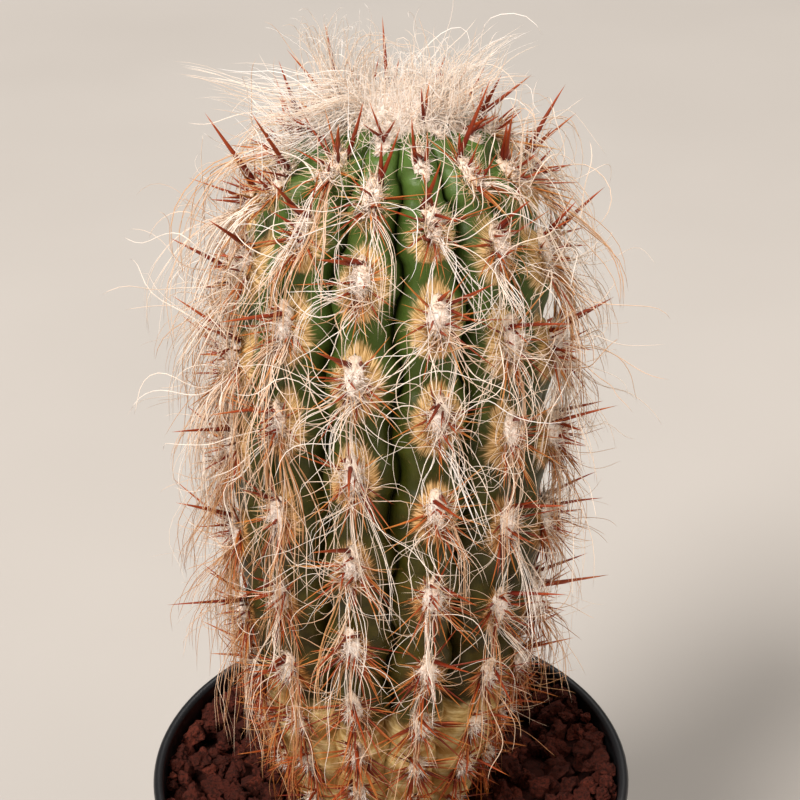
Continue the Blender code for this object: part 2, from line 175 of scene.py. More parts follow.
LOOP = Hair(
    share=0.2, left=-0.1, clump=(1, 1), length=(12, 28), way=((0.4, 1.0), (-1.3, 1.3), (-0.9, 0.9)), tan=0.8,
    droop=0.01, hug=0.04, curl=0.27, wave=(10, 22), gather=0.0,
)
HairCoat = namedtuple("HairCoat", "name kinds count points thins")  # thins: the share missing at the foot
HAIR_COATS = (
    HairCoat("combed", (CURTAIN, SKIRT, ROPE, STRAY), 30, 10, 0.75),
    HairCoat("tangled", (TANGLE, LOOP), 28, 16, 0.62),
)
HAIR_SUBSTEPS = 2
HAIR_WIDTH = (0.11 * MM, 0.31 * MM)
HAIR_CLEARANCE = 0.3 * MM

# Felt, bristles and spines: where the points along them are, as shares of the length.
CURVED = np.array((0, 0.5, 1))
STRAIGHT = np.array((0, 1))
SPINE = np.array((0, 0.1, 0.3, 0.55, 0.8, 1.0))
SPINE_TAPER = np.array((1.0, 1.0, 0.88, 0.62, 0.32, 0.0))
PAD_COLUMNS, PAD_ROWS = 12, 5
FELT = (("felt_curls", CURVED, 34), ("felt_fibres", STRAIGHT, 74))  # (name, places, count on an areole)
BRISTLES = (  # the same, and the shortest and longest in mm
    ("golden_bristles", CURVED, 44, 3.5, 8.5), ("golden_fuzz", STRAIGHT, 290, 1.2, 3.6),
)

# The wool on the crown.
WOOL_REACH = 11 * MM
BED_REACH = 9 * MM
WOOL_THICK = 2.4 * MM
WOOL_LOCKS = 54
WOOL_SINGLES = 700
WOOL_WIDTH = (0.1 * MM, 0.21 * MM)
BRUSH_LOCKS = (  # (azimuth and lean in degrees, length in mm, count)
    (212, 88, 26, 18), (204, 84, 32, 26), (197, 80, 35, 28), (191, 77, 36, 30), (186, 73, 35, 32),
    (181, 69, 33, 30), (177, 64, 31, 26), (172, 58, 28, 20), (166, 52, 25, 14), (158, 48, 23, 8),
    (146, 46, 20, 4), (60, 24, 18, 3), (34, 30, 21, 5), (14, 40, 24, 16), (8, 45, 25, 20),
    (0, 51, 24, 20), (-6, 60, 22, 18), (-14, 70, 20, 18), (-24, 80, 18, 16),
)

# The studio, in metres and watts.
FLOOR_HALF = 8
LIGHT_TARGET = (0, 0, 0.17)
LIGHTS = (  # (name, place, size, power, colour)
    ("key", (-2.09, -2.53, 3.54), 1.65, 295, (1.0, 0.93, 0.88)),
    ("fill", (3.08, -1.98, 1.78), 2.86, 62, (1.0, 0.88, 0.78)),
    ("top", (0.22, 1.54, 4.2), 2.64, 85, (1.0, 0.97, 0.94)),
)
SKY_COLOUR = (1.0, 0.87, 0.78, 1)
SKY_STRENGTH = 0.13


def unit(vectors):
    return vectors / np.maximum(np.linalg.norm(vectors, axis=-1, keepdims=True), 1e-12)


def ramp(value, start, end):
    """0 up to start, 1 from end on, and smooth between them."""
    t = np.clip((value - start) / (end - start), 0, 1)
    return t * t * (3 - 2 * t)


def around(angle, radius=1.0, height=0.0):
    """Points at these angles and distances from the axis."""
    angle, radius, height = np.broadcast_arrays(angle, radius, height)
    return np.stack((radius * np.cos(angle), radius * np.sin(angle), height), axis=-1)


def noise_at(points, size, seed=0.0):
    """Smooth noise from -1 to 1 at each point, with features of this size."""
    flat = points.reshape(-1, 3) / size + seed
    return np.array([noise.noise(point) for point in flat.tolist()]).reshape(points.shape[:-1])


class CrestLine:
    """The stem's outline as a smooth curve, measured along from the tip."""

    def __init__(self, points, steps=400):
        place = np.linspace(0, len(points) - 1, steps + 1)
        k = np.minimum(place.astype(int), len(points) - 2)
        t = (place - k)[:, None]
        near = np.clip(k + np.arange(-1, 3)[:, None], 0, len(points) - 1)
        a, b, c, d = np.array(points)[near] * MM
        square, cube = 2 * a - 5 * b + 4 * c - d, 3 * b - a - 3 * c + d
        curve = 0.5 * (2 * b + (c - a) * t + square * t**2 + cube * t**3)
        self.radius, self.height = np.maximum(curve[:, 0], 0), curve[:, 1]
        strides = np.hypot(np.diff(self.radius), np.diff(self.height))
        self.length = np.concatenate(([0], np.cumsum(strides)))
        self.normal = unit(np.stack((-np.gradient(self.height), np.gradient(self.radius)), axis=-1))

    def at(self, along):
        """(radius, height above the grit) at a length along."""
        return np.interp(along, self.length, self.radius), np.interp(along, self.length, self.height)

    def normal_at(self, along):
        """The outward normal there, as (radial, upward)."""
        parts = [np.interp(along, self.length, self.normal[:, k]) for k in range(2)]
        return unit(np.stack(parts, axis=-1))

    def drop_at(self, radius):
        """How far below the tip the crown's surface is, this far from the axis."""
        crown = self.height > self.height[0] / 2
        return self.height[0] - np.interp(radius, self.radius[crown], self.height[crown])


CREST = CrestLine(CREST_LINE_MM)
ALONG_TO_GRIT = float(CREST.length[np.argmax(CREST.height <= 0)])


def pitch_at(along):
    """The spacing of the areoles on a rib: close at the tip and again near the foot."""
    near_tip = math.exp(-max(along - FIRST_AREOLE, 0) / PITCH_GROWTH)
    grown = PITCH_MIDDLE + (PITCH_TIP - PITCH_MIDDLE) * near_tip
    return PITCH_FOOT + (grown - PITCH_FOOT) * float(ramp(CREST.at(along)[1], *CROWDED_FOOT))


def areole_spiral():
    """[(rib, length along from the tip)] of every areole, from the crown down."""
    found = []
    along, rib = FIRST_AREOLE, FIRST_AREOLE_RIB
    while along < ALONG_TO_GRIT - LOWEST_AREOLE:
        found.append((rib, along))
        along += pitch_at(along) / RIBS
        rib = (rib + RIB_STEP) % RIBS
    return found


SPIRAL = areole_spiral()
RIB_PLACES = [np.array([along for r, along in SPIRAL if r == rib]) for rib in range(RIBS)]


def rib_angle(rib):
    return math.radians(FIRST_RIB_DEG + 360 * rib / RIBS)


def fold_at(rib, along):
    """0 on an areole of this rib, and 1 in the fold above the next one down."""
    places = RIB_PLACES[rib]
    ends = np.concatenate(([places[0] - PITCH_TIP], places, [places[-1] + PITCH_FOOT]))
    k = np.clip(np.searchsorted(ends, along, side="right") - 1, 0, len(ends) - 2)
    share = np.clip((along - ends[k]) / (ends[k + 1] - ends[k]), 0, 1)
    falling = (0.5 - 0.5 * np.cos(math.pi * np.minimum(share / FOLD_PLACE, 1))) ** 1.5
    rising = 0.5 + 0.5 * np.cos(math.pi * np.maximum(share - FOLD_PLACE, 0) / (1 - FOLD_PLACE))
    return np.where(share < FOLD_PLACE, falling, rising)


def rib_depth(along):
    """How deep the furrows are: less on the crown, and almost nothing at the foot."""
    share = RIB_AT_FOOT + (1 - RIB_AT_FOOT) * ramp(CREST.at(along)[1], *RIB_FADE)
    return RIB_DEPTH * np.minimum(along / RIB_START, 1.0) * share


def skin_point(rib, along, across=0.0):
    """Points of the upright stem's skin; across is -1 and 1 in the furrows beside the rib."""
    along = np.asarray(along, float)
    crest, height = CREST.at(along)
    depth = np.minimum(rib_depth(along), crest / 2)
    fold = fold_at(rib, along)
    beside = fold_at((rib + (1 if np.mean(across) > 0 else -1)) % RIBS, along)
    half = math.pi / RIBS * (1 + FURROW_WAVE * (beside - fold) * depth / RIB_DEPTH)
    full = np.maximum(np.cos(np.asarray(across) * math.pi / 2), 0)
    folded = FOLD_DEPTH * depth / RIB_DEPTH * (1 - (1 - FOLD_AT_FOOT) * ramp(along, *FOLD_FADE))
    sunk = depth * (1 - full**RIB_FULLNESS) + folded * fold * full**1.5
    return around(rib_angle(rib) + across * half, crest - sunk, height)


def on_stem(points):
    """Moves points of the upright stem to the leaning stem."""
    points = points + STEM_FOOT
    points[..., 0] += STEM_LEAN * np.maximum(points[..., 2] - STEM_FOOT[2], 0)
    return points


CROWN_TIP = on_stem(UP * CREST.height[0])


def on_crown(away, reach, lift=0.0):
    """A point above the crown, this way from the tip and this far; less far on the front."""
    reach *= 1 + 0.25 * away[1]
    return CROWN_TIP + away * reach + UP * (lift - float(CREST.drop_at(reach)))


class Areole:
    """A place on a rib, with its directions: out of the skin, to the side, and up the rib.

    Youth is 1 on the crown, age 1 at the foot, and depth runs from 0 at the tip to 1 at the grit.
    """

    def __init__(self, rib, along):
        angle, height = rib_angle(rib), CREST.at(along)[1]
        self.out = around(angle, *CREST.normal_at(along))
        self.side = around(angle + math.pi / 2)
        self.up = np.cross(self.out, self.side)
        self.place = on_stem(skin_point(rib, along))
        self.youth = float(1 - ramp(along, *YOUTH_FADE))
        self.age = float(1 - ramp(height, *AGE_FADE))
        self.left = -math.cos(angle)
        self.depth = 1 - height / CREST.height[0]
        size = (1 + 0.15 * self.youth) * (1 - 0.25 * self.age)
        self.pad_mm = (np.array((1.9, 4.2, 1.9)) - np.array((0.5, 0.7, 1.0)) * self.youth) * size

    def way(self, out, side, up):
        return self.out * out + self.side * side + self.up * up

    def point(self, *mm):
        return self.place + self.way(*mm) * MM


def linked(name, data):
    """A new object in the scene."""
    obj = bpy.data.objects.new(name, data)
    bpy.context.scene.collection.objects.link(obj)
    return obj


def object_from(bm, name):
    """A new object of this bmesh, which is freed."""
    mesh = bpy.data.meshes.new(name)
    bm.to_mesh(mesh)
    bm.free()
    return linked(name, mesh)


def mesh_object(name, verts, faces, look, slot, **values):
    """A smooth piece on the root body, with float attributes on its points."""
    mesh = bpy.data.meshes.new(name)
    mesh.from_pydata(verts.reshape(-1, 3), [], faces)
    for key, value in values.items():
        floats = np.ravel(value).astype(np.float32)
        mesh.attributes.new(key, "FLOAT", "POINT").data.foreach_set("value", floats)
    mesh.shade_smooth()
    mesh.materials.append(look.material)
    obj = linked(name, mesh)
    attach(obj, "root")
    return obj


def copies_of(faces, count, points):
    """These faces for each copy of a shape with this many points."""
    starts = np.arange(count)[:, None, None] * points
    return (np.asarray(faces) + starts).reshape(-1, np.shape(faces)[-1]).tolist()


def ring_faces(rings, sides, inward=False):
    """Quads between rings of points, each ring after the one before."""
    side = np.arange(sides)
    after = (side + 1) % sides
    ring = np.arange(rings - 1)[:, None] * sides
    quads = np.stack((ring + side, ring + after, ring + sides + after, ring + sides + side), -1)
    return quads.reshape(-1, 4)[:, ::-1 if inward else 1]


def capped_faces(rings, sides, count, inward=False):
    """Faces of copies of a stack of rings, with a fan to a last point and a base."""
    side = np.arange(sides)
    last, tip = (rings - 1) * sides, rings * sides
    fan = np.stack((last + side, last + (side + 1) % sides, np.full(sides, tip)), -1)
    groups = ring_faces(rings, sides), fan, side[None, ::-1]
    return sum((copies_of(group[:, ::-1 if inward else 1], count, tip + 1) for group in groups), [])


def tubes(name, paths, radii, sides, look, shade):
    """Thin tubes with pointed tips along paths of the same number of points."""
    count, rings = len(paths), paths.shape[1] - 1
    heading = unit(np.gradient(paths, axis=1))
    across = unit(np.cross(heading[:, 0], (0.31, 0.62, 0.72)))
    verts = np.empty((count, rings * sides + 1, 3))
    for ring in range(rings):
        along = heading[:, ring]
        across = unit(across - along * np.sum(across * along, axis=1, keepdims=True))
        other = np.cross(along, across)
        for side in range(sides):
            turn = TAU * side / sides
            spoke = across * math.cos(turn) + other * math.sin(turn)
            verts[:, ring * sides + side] = paths[:, ring] + spoke * radii[:, ring, None]
    verts[:, -1] = paths[:, -1]
    along = np.append(np.repeat(np.arange(rings), sides), rings) / rings
    along, shade = np.tile(along, count), np.repeat(shade, len(along))
    mesh_object(name, verts, capped_faces(rings, sides, count), look, "white_wool", along=along, shade=shade)


def icosphere(detail):
    """(points, faces) of a ball of radius 1."""
    bm = bmesh.new()
    bmesh.ops.create_icosphere(bm, subdivisions=detail, radius=1)
    points = np.array([vert.co for vert in bm.verts])
    faces = [[vert.index for vert in face.verts] for face in bm.faces]
    bm.free()
    return points, faces


class Look:
    """A material whose nodes are added one by one."""

    def __init__(self, name, **settings):
        self.material = bpy.data.materials.new(name)
        self.material.use_nodes = True
        self.tree = self.material.node_tree
        self.shader = self.tree.nodes["Principled BSDF"]
        for key, value in settings.items():
            self.set(key.replace("_", " "), value)

    def add(self, kind, inputs=None, output=0, **settings):
        """Adds a node, and gives its output."""
        node = self.tree.nodes.new("ShaderNode" + kind)
        for key, value in settings.items():
            setattr(node, key, value)
        for key, value in (inputs or {}).items():
            self.feed(node.inputs[key], value)
        return node.outputs[output]

    def feed(self, socket, value):
        """Links a socket, or sets a value or an (r, g, b) colour."""
        if isinstance(value, bpy.types.NodeSocket):
            self.tree.links.new(value, socket)
        else:
            socket.default_value = (*value, 1) if socket.type == "RGBA" else value

    def attribute(self, name):
        return self.add("Attribute", output="Fac", attribute_name=name)

    def noise(self, scale, detail=4.0, roughness=0.55, stretch=None):
        place = self.add("TexCoord", output="Object")
        if stretch:
            place = self.add("Mapping", {"Vector": place, "Scale": stretch})
        inputs = {"Vector": place, "Scale": scale, "Detail": detail, "Roughness": roughness}
        return self.add("TexNoise", inputs)

    def math(self, operation, a, b=0.0, c=0.0):
        return self.add("Math", {0: a, 1: b, 2: c}, operation=operation)

    def times(self, a, b):
        return self.math("MULTIPLY", a, b)

    def vary(self, value, noise_value, amount):
        """The value, made uneven by a noise around 0.5."""
        return self.math("MULTIPLY_ADD", self.math("SUBTRACT", noise_value, 0.5), amount, value)

    def ramp(self, value, stops):
        """A smooth run of colours, as [(place, red, green, blue)]."""
        colour = self.add("ValToRGB", {"Fac": value})
        elements = colour.node.color_ramp.elements
        while len(elements) < len(stops):
            elements.new(0.5)
        for element, (place, *shade) in zip(elements, stops):
            element.position = place
            element.color = (*shade, 1)
        return colour

    def steps(self, value, low, high):
        """0 at low and 1 at high."""
        inputs = {"Value": value, "From Min": low, "From Max": high}
        return self.add("MapRange", inputs, interpolation_type="SMOOTHSTEP")

    def mix(self, share, a, b):
        return self.add("Mix", {"Factor": share, 6: a, 7: b}, output=2, data_type="RGBA")

    def bump(self, height, distance, strength=1.0):
        inputs = {"Height": height, "Distance": distance, "Strength": strength}
        self.set("Normal", self.add("Bump", inputs))

    def set(self, name, value):
        self.feed(self.shader.inputs[name], value)

    def paint(self, colour):
        self.set("Base Color", colour)


def streaks_look(look):
    """Noise that is drawn out away from the nearest areole, like combed fur."""
    place = look.add("CombineXYZ", {"X": look.attribute("aside"), "Y": look.attribute("down")})
    way = look.add("VectorMath", {0: place}, operation="NORMALIZE")
    spread = look.add("VectorMath", {0: way, "Scale": 20.0}, operation="SCALE")
    far = look.add("VectorMath", {0: place}, output="Value", operation="LENGTH")
    shift = look.add("CombineXYZ", {"Z": look.times(far, 2.2)})
    ray = look.add("VectorMath", {0: spread, 1: shift}, operation="ADD")
    return look.add("TexNoise", {"Vector": ray, "Scale": 1.0, "Detail": 3.0})


def skin_look():
    """Green ribs with painted shade in the furrows, golden fur round each areole, and a corky foot."""
    look = Look("cactus_skin", Roughness=0.45, Specular_IOR_Level=0.25)
    furrow_shade, halo, cork, youth, lower = map(look.attribute, ("furrow_shade", "halo", "cork", "youth", "lower"))
    mottle, fine, fur = look.noise(160, 5), look.noise(900, 3), streaks_look(look)
    green = look.ramp(mottle, [
        (0.3, 0.016, 0.03, 0.001), (0.52, 0.036, 0.064, 0.004), (0.75, 0.08, 0.112, 0.013),
    ])
    green = look.mix(look.times(youth, 0.75), green, (0.09, 0.172, 0.034))
    # Lower down the skin turns olive and darker: partly its own colour, partly painted shade.
    olive = look.ramp(look.noise(240, 5, 0.65), [
        (0.35, 0.021, 0.017, 0.002), (0.65, 0.066, 0.052, 0.006),
    ])
    green = look.mix(look.math("POWER", lower, 0.4), green, olive)
    # Painted shade in the furrows and folds, browner lower down.
    shadow = look.mix(lower, (0.018, 0.028, 0.002), (0.028, 0.022, 0.002))
    green = look.mix(look.steps(furrow_shade, 0.25, 1.0), green, shadow)
    golden = look.ramp(fur, [
        (0.34, 0.3, 0.15, 0.03), (0.5, 0.66, 0.42, 0.16), (0.64, 0.88, 0.66, 0.37),
    ])
    brown = look.ramp(fur, [
        (0.34, 0.14, 0.045, 0.009), (0.5, 0.42, 0.17, 0.04), (0.64, 0.66, 0.34, 0.11),
    ])
    edge = look.vary(look.vary(halo, fur, 1.1), mottle, 0.6)
    # A darker brown ring round each halo, strongest lower down: partly brown staining, partly painted shade.
    brown_ring = look.times(look.steps(edge, 0.0, 0.5), look.math("MULTIPLY_ADD", lower, 0.75, 0.25))
    ringed_skin = look.mix(brown_ring, green, (0.075, 0.034, 0.004))
    skin = look.mix(look.steps(edge, 0.25, 0.75), ringed_skin, look.mix(lower, golden, brown))
    bark = look.ramp(look.noise(260, 6, 0.65, (1, 1, 4.0)), [
        (0.3, 0.22, 0.11, 0.025), (0.44, 0.58, 0.4, 0.14), (0.64, 0.88, 0.74, 0.4),
    ])
    bark = look.mix(look.steps(mottle, 0.62, 0.4), bark, (0.36, 0.19, 0.05))
    skin = look.mix(look.steps(look.vary(cork, mottle, 0.8), 0.3, 0.7), skin, bark)
    look.paint(skin)
    look.set("Roughness", look.math("MULTIPLY_ADD", look.math("MAXIMUM", cork, halo), 0.4, 0.42))
    grain = look.math("MULTIPLY_ADD", fine, 0.5, look.noise(2600, 2))
    relief = look.math("MULTIPLY_ADD", look.times(fur, halo), 5.0, grain)
    look.bump(relief, 0.12 * MM, 0.6)
    return look


def spine_look():
    """Mahogany at the root, orange, and straw at the tip; the shade shifts it lighter."""
    look = Look("spine_horn", Roughness=0.45, Specular_IOR_Level=0.3)
    place = look.times(look.attribute("along"), 0.5)
    place = look.math("MULTIPLY_ADD", look.attribute("shade"), 0.7, place)
    look.paint(look.ramp(look.vary(place, look.noise(700, 2), 0.15), [
        (0.0, 0.075, 0.005, 0.002), (0.22, 0.16, 0.014, 0.004), (0.46, 0.36, 0.06, 0.012),
        (0.72, 0.6, 0.22, 0.045), (1.0, 0.82, 0.56, 0.26),
    ]))
    return look


def hair_look():
    """Hairs from white over pinkish cream to tan."""
    look = Look("hair", Roughness=0.45)
    hue = look.ramp(look.attribute("shade"), [
        (0.0, 0.98, 0.95, 0.91), (0.3, 0.93, 0.8, 0.67), (0.65, 0.66, 0.35, 0.15),
        (1.0, 0.38, 0.12, 0.03),
    ])
    root = look.times(look.steps(look.attribute("along"), 0.12, 0.0), 0.2)
    look.paint(look.mix(root, hue, (0.5, 0.3, 0.15)))
    return look


def bristle_look():
    """Golden bristles from straw to ginger."""
    look = Look("golden_bristle", Roughness=0.5)
    look.paint(look.ramp(look.attribute("shade"), [
        (0.0, 0.92, 0.77, 0.54), (0.35, 0.82, 0.52, 0.23), (0.7, 0.62, 0.26, 0.07),
        (1.0, 0.34, 0.09, 0.022),
    ]))
    return look


def felt_look():
    """Pinkish cream felt, tan where its shade is high."""
    look = Look("areole_felt", Roughness=0.9)
    cream = look.ramp(look.noise(900, 4), [
        (0.28, 0.82, 0.63, 0.52), (0.46, 0.97, 0.87, 0.79), (0.66, 1.0, 0.96, 0.92),
    ])
    look.paint(look.mix(look.attribute("shade"), cream, (0.62, 0.38, 0.15)))
    look.bump(look.noise(2200, 3), 0.15 * MM)
    return look


def grit_look():
    """Porous maroon lava, with painted shade in its pores."""
    look = Look("lava_grit", Roughness=0.95, Specular_IOR_Level=0.2)
    pores, cloud = look.noise(1300, 6, 0.7), look.noise(260, 4)
    stone = look.ramp(look.attribute("shade"), [
        (0.0, 0.04, 0.007, 0.004), (0.6, 0.092, 0.017, 0.01), (1.0, 0.18, 0.036, 0.018),
    ])
    # The pores are darkened towards black: painted shade inside them.
    stone = look.mix(look.steps(pores, 0.56, 0.36), stone, (0.012, 0.003, 0.002))
    look.paint(look.mix(look.times(cloud, 0.16), stone, (0.24, 0.065, 0.035)))
    look.bump(pores, 1.0 * MM)
    return look


def plastic_look():
    """Black moulded plastic with a faint grain and a little dust."""
    look = Look("black_plastic", Roughness=0.42)
    dust = look.steps(look.noise(60, 6, 0.65), 0.5, 0.8)
    look.paint(look.mix(look.times(dust, 0.35), (0.01, 0.011, 0.013), (0.045, 0.042, 0.04)))
    look.set("Roughness", look.math("MULTIPLY_ADD", dust, 0.25, 0.36))
    look.bump(look.noise(1400, 2), 0.05 * MM, 0.6)
    return look


def make_skin(look):
    """The ribbed skin, whose columns follow the furrows; gives its tree of faces."""
    rows = np.linspace(0, 1, SKIN_ROWS + 1)[1:, None]
    along = (ALONG_TO_GRIT + SKIN_BOTTOM) * (0.35 * rows**1.5 + 0.65 * rows)
    radius, height = CREST.at(along)
    across = np.sin(np.linspace(-1, 1, SKIN_COLUMNS_PER_RIB + 1)[:-1] * math.pi / 2)
    folded = FOLD_SHADE * (1 - 0.7 * ramp(along, *FOLD_FADE))
    blocks = []
    for rib in range(RIBS):
        nearest = np.abs(along - RIB_PLACES[rib]).argmin(-1)
        down = along - RIB_PLACES[rib][nearest][:, None] - HALO_DROP
        for part in (across[across < 0], across[across >= 0]):
            full = np.cos(part * math.pi / 2)
            # Painted shade: darkest deep in the furrows and in the folds between the areoles.
            dark = 1 - full**RIB_FULLNESS + folded * fold_at(rib, along) * full**1.5
            furrow_shade = np.minimum(dark, 1) * rib_depth(along) / RIB_DEPTH
            aside = part * math.pi / RIBS * radius * 1.1 / HALO_SIZE[0]
            downward = np.broadcast_to(down / HALO_SIZE[1], aside.shape)
            blocks.append((skin_point(rib, along, part[None]), furrow_shade, aside, downward))
    points, furrow_shade, aside, down = (np.concatenate(parts, axis=1) for parts in zip(*blocks))
    cork = 1 - ramp(height, *CORK_FADE)
    outward = unit(points * (1, 1, 0) + UP * 1e-6)
    creases = 0.55 * noise_at(points * (0.3, 0.3, 1.6), 3.4 * MM, 7)
    creases += 0.2 * noise_at(points * (0.3, 0.3, 3), 2 * MM, 3)
    dents_mm = 0.22 * noise_at(points, 6 * MM) + cork * creases
    points = on_stem(points + outward * dents_mm[..., None] * MM)

    count, columns = points.shape[:2]
    verts = np.concatenate((points.reshape(-1, 3), CROWN_TIP[None]))
    k = np.arange(columns)
    faces = ring_faces(count, columns, inward=True).tolist()
    faces += np.stack((k, (k + 1) % columns, np.full(columns, len(verts) - 1)), -1).tolist()
    faces.append(((count - 1) * columns + k[::-1]).tolist())
    smaller = 1 + 0.5 * ramp(along, *HALO_SHRINK)
    halo = (1 - ramp(np.hypot(aside, down) * smaller, 0.55, 1.35)) * ramp(along, *HALO_START)
    grids = dict(
        furrow_shade=furrow_shade, halo=halo, aside=aside, down=down, cork=cork,
        youth=1 - ramp(along, *YOUNG_SKIN_FADE), lower=ramp(along, *LOWER_OLIVE_AND_SHADE),
    )
    for key, grid in grids.items():
        grids[key] = np.append(np.broadcast_to(grid, down.shape), key == "youth")
    skin = mesh_object("stem_skin", verts, faces, look, "green_skin", **grids)
    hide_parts("stem")
    return BVHTree.FromPolygons([tuple(vert) for vert in verts], faces)


# One hair, in mm. Hover is how near it hugs the skin, and gather how far it closes up with its clump's first.
Strand = namedtuple(
    "Strand", "root heading length curl wave phase shade droop hug hover gather", defaults=(0.015, 0, 0, 0)
)


class Coat:
    """Hairs that are gathered here, and then grown over the skin."""

    def __init__(self, tree, seed):
        self.tree, self.rng, self.strands, self.guides = tree, np.random.default_rng(seed), [], []

    def add_clump(self, strands):
        self.guides += [len(self.strands)] * len(strands)
        self.strands += strands

    def keep_off(self, points):
        """Moves points out of the skin; gives their distance from it and its normal."""
        away, normals = np.empty(len(points)), np.empty_like(points)
        for k, point in enumerate(points.tolist()):
            near, normal, _, _ = self.tree.find_nearest(point)
            away[k], normals[k] = (Vector(point) - near).dot(normal), normal
            if away[k] < HAIR_CLEARANCE:
                points[k] = near + normal * HAIR_CLEARANCE
        return away, normals

    def grow(self, points):
        """(paths, shades) of the hairs: each bends under its weight, hugs the skin and curls."""
        root, heading, length, curl, wave, phase, shade, droop, hug, hover, gather = map(
            np.array, zip(*self.strands)
        )
        steps = (points - 1) * HAIR_SUBSTEPS
        stride = length / steps
        paths = np.empty((len(heading), steps + 1, 3))
        paths[:, 0] = root
        away, normals = np.zeros(len(heading)), heading.copy()
        for k in range(steps):
            place = TAU * stride * (k + 0.5) / wave
            side = unit(np.cross(heading, UP + 0.01))
            wag = np.sin(place + phase[:, 0]) + 0.6 * np.sin(place * 2.3 + phase[:, 1])
            nod = np.sin(place * 0.73 + phase[:, 1]) + 0.6 * np.sin(place * 1.9 + phase[:, 0])
            turn = side * (curl * wag)[:, None] + np.cross(heading, side) * (curl * nod)[:, None]
            turn -= normals * (hug * np.clip(away / MM - hover, 0, 1))[:, None] + UP * droop[:, None]
            heading = unit(heading + turn * stride[:, None])
            reached = paths[:, k] + heading * stride[:, None] * MM
            away, normals = self.keep_off(reached)
            heading = unit(reached - paths[:, k])
            paths[:, k + 1] = reached
        pull = gather[:, None, None] * np.linspace(0, 1, steps + 1)[:, None] ** 0.6
        paths += (paths[self.guides] - paths) * pull
        for _ in range(3):
            paths[:, 1:-1] = (paths[:, :-2] + 2 * paths[:, 1:-1] + paths[:, 2:]) / 4
        return paths[:, ::HAIR_SUBSTEPS], np.clip(shade, 0, 1)


def hair_radii(paths, rng, width=HAIR_WIDTH):
    """Each hair's own thickness, less towards its tip."""
    share = np.linspace(0, 1, paths.shape[1])
    return rng.uniform(*width, len(paths))[:, None] / 2 * (1 - 0.6 * share**2)


def hair_clump(areole, kind, count, rng):
    """Hairs that leave the areole side by side and keep together."""
    root = np.array((0.1, rng.uniform(-2.6, 2.6), rng.uniform(-5.4, -1.2)))
    heading = np.array([rng.uniform(*span) for span in kind.way])
    age = areole.age
    heading += np.array((-0.35 * heading[0], 0, -0.6)) * age
    length = rng.uniform(*kind.length) * (1 + 0.1 * areole.left) * (1 - 0.3 * areole.depth - 0.2 * age)
    wave, phase, hover = rng.uniform(*kind.wave), rng.uniform(0, TAU, 2), rng.uniform(*kind.hover)
    # Hairs get tanner with age, lower down and at the sides; on the right side this tan is painted shade.
    tan_and_side_shade = 0.35 * age + 0.25 * abs(areole.left) + 0.5 * areole.depth
    shade = rng.uniform(*kind.shade) + kind.tan * tan_and_side_shade
    return [
        Strand(
            root=areole.point(*(root + rng.normal(0, 0.3, 3))),
            heading=unit(areole.way(*(heading + rng.normal(0, kind.loose, 3)))),
            length=length * rng.uniform(0.72, 1.1),
            curl=kind.curl * (1 - 0.5 * age) * rng.uniform(0.75, 1.25),
            wave=wave * rng.uniform(0.92, 1.08),
            phase=phase + rng.normal(0, kind.loose * 2.5, 2),
            shade=shade + rng.uniform(-0.1, 0.1),
            droop=kind.droop, hug=kind.hug * (1 + age), hover=hover * (1 - 0.6 * age),
            gather=kind.gather * rng.uniform(0.8, 1.1),
        )
        for _ in range(count)
    ]


def grow_hairs(name, kept, areoles, tree, look, seed):
    """A coat of hairs: more on the left, fewer on the crown and at the foot."""
    coat = Coat(tree, seed)
    rng = coat.rng
    for areole in areoles:
        aside = max(areole.left, -0.45 * areole.left) ** 2
        shares = np.array([kind.share + kind.left * aside for kind in kept.kinds])
        more = (0.8 + 0.22 * shares.sum()) * (1 - 0.6 * areole.youth) * (1 - kept.thins * areole.depth)
        more *= 1 - 0.9 * areole.age
        total = round(kept.count * more)
        while total > 0:
            kind = kept.kinds[rng.choice(len(shares), p=shares / shares.sum())]
            count = min(total, int(rng.integers(kind.clump[0], kind.clump[1] + 1)))
            coat.add_clump(hair_clump(areole, kind, count, rng))
            total -= count
    paths, shade = coat.grow(kept.points)
    slim = 1 - 0.5 * np.mean([areole.depth for areole in areoles])
    tubes(f"{kept.name}_hair_{name}", paths, hair_radii(paths, rng) * slim, 3, look, shade)


class Fibres:
    """Spines, bristles or felt, gathered here and then made as one piece."""

    def __init__(self, places):
        self.share, self.paths, self.widths_mm, self.shades = places[:, None], [], [], []

    def add(self, areole, root_mm, way, length_mm, bend, shade, width_mm=None):
        course = unit(areole.way(*way)) * self.share + bend * self.share**2
        self.paths.append(areole.point(*root_mm) + course * length_mm * MM)
        self.widths_mm.append(width_mm)
        self.shades.append(shade)

    def make(self, name, widths_mm, taper, sides, look):
        radii = np.array(widths_mm)[:, None] / 2 * MM * taper
        tubes(name, np.array(self.paths), radii, sides, look, self.shades)


def fan_way(spread_deg, rng):
    """(sideways, up) in the skin's plane, and mostly downward."""
    turn = math.radians(rng.normal(180, spread_deg))
    return math.sin(turn), math.cos(turn)


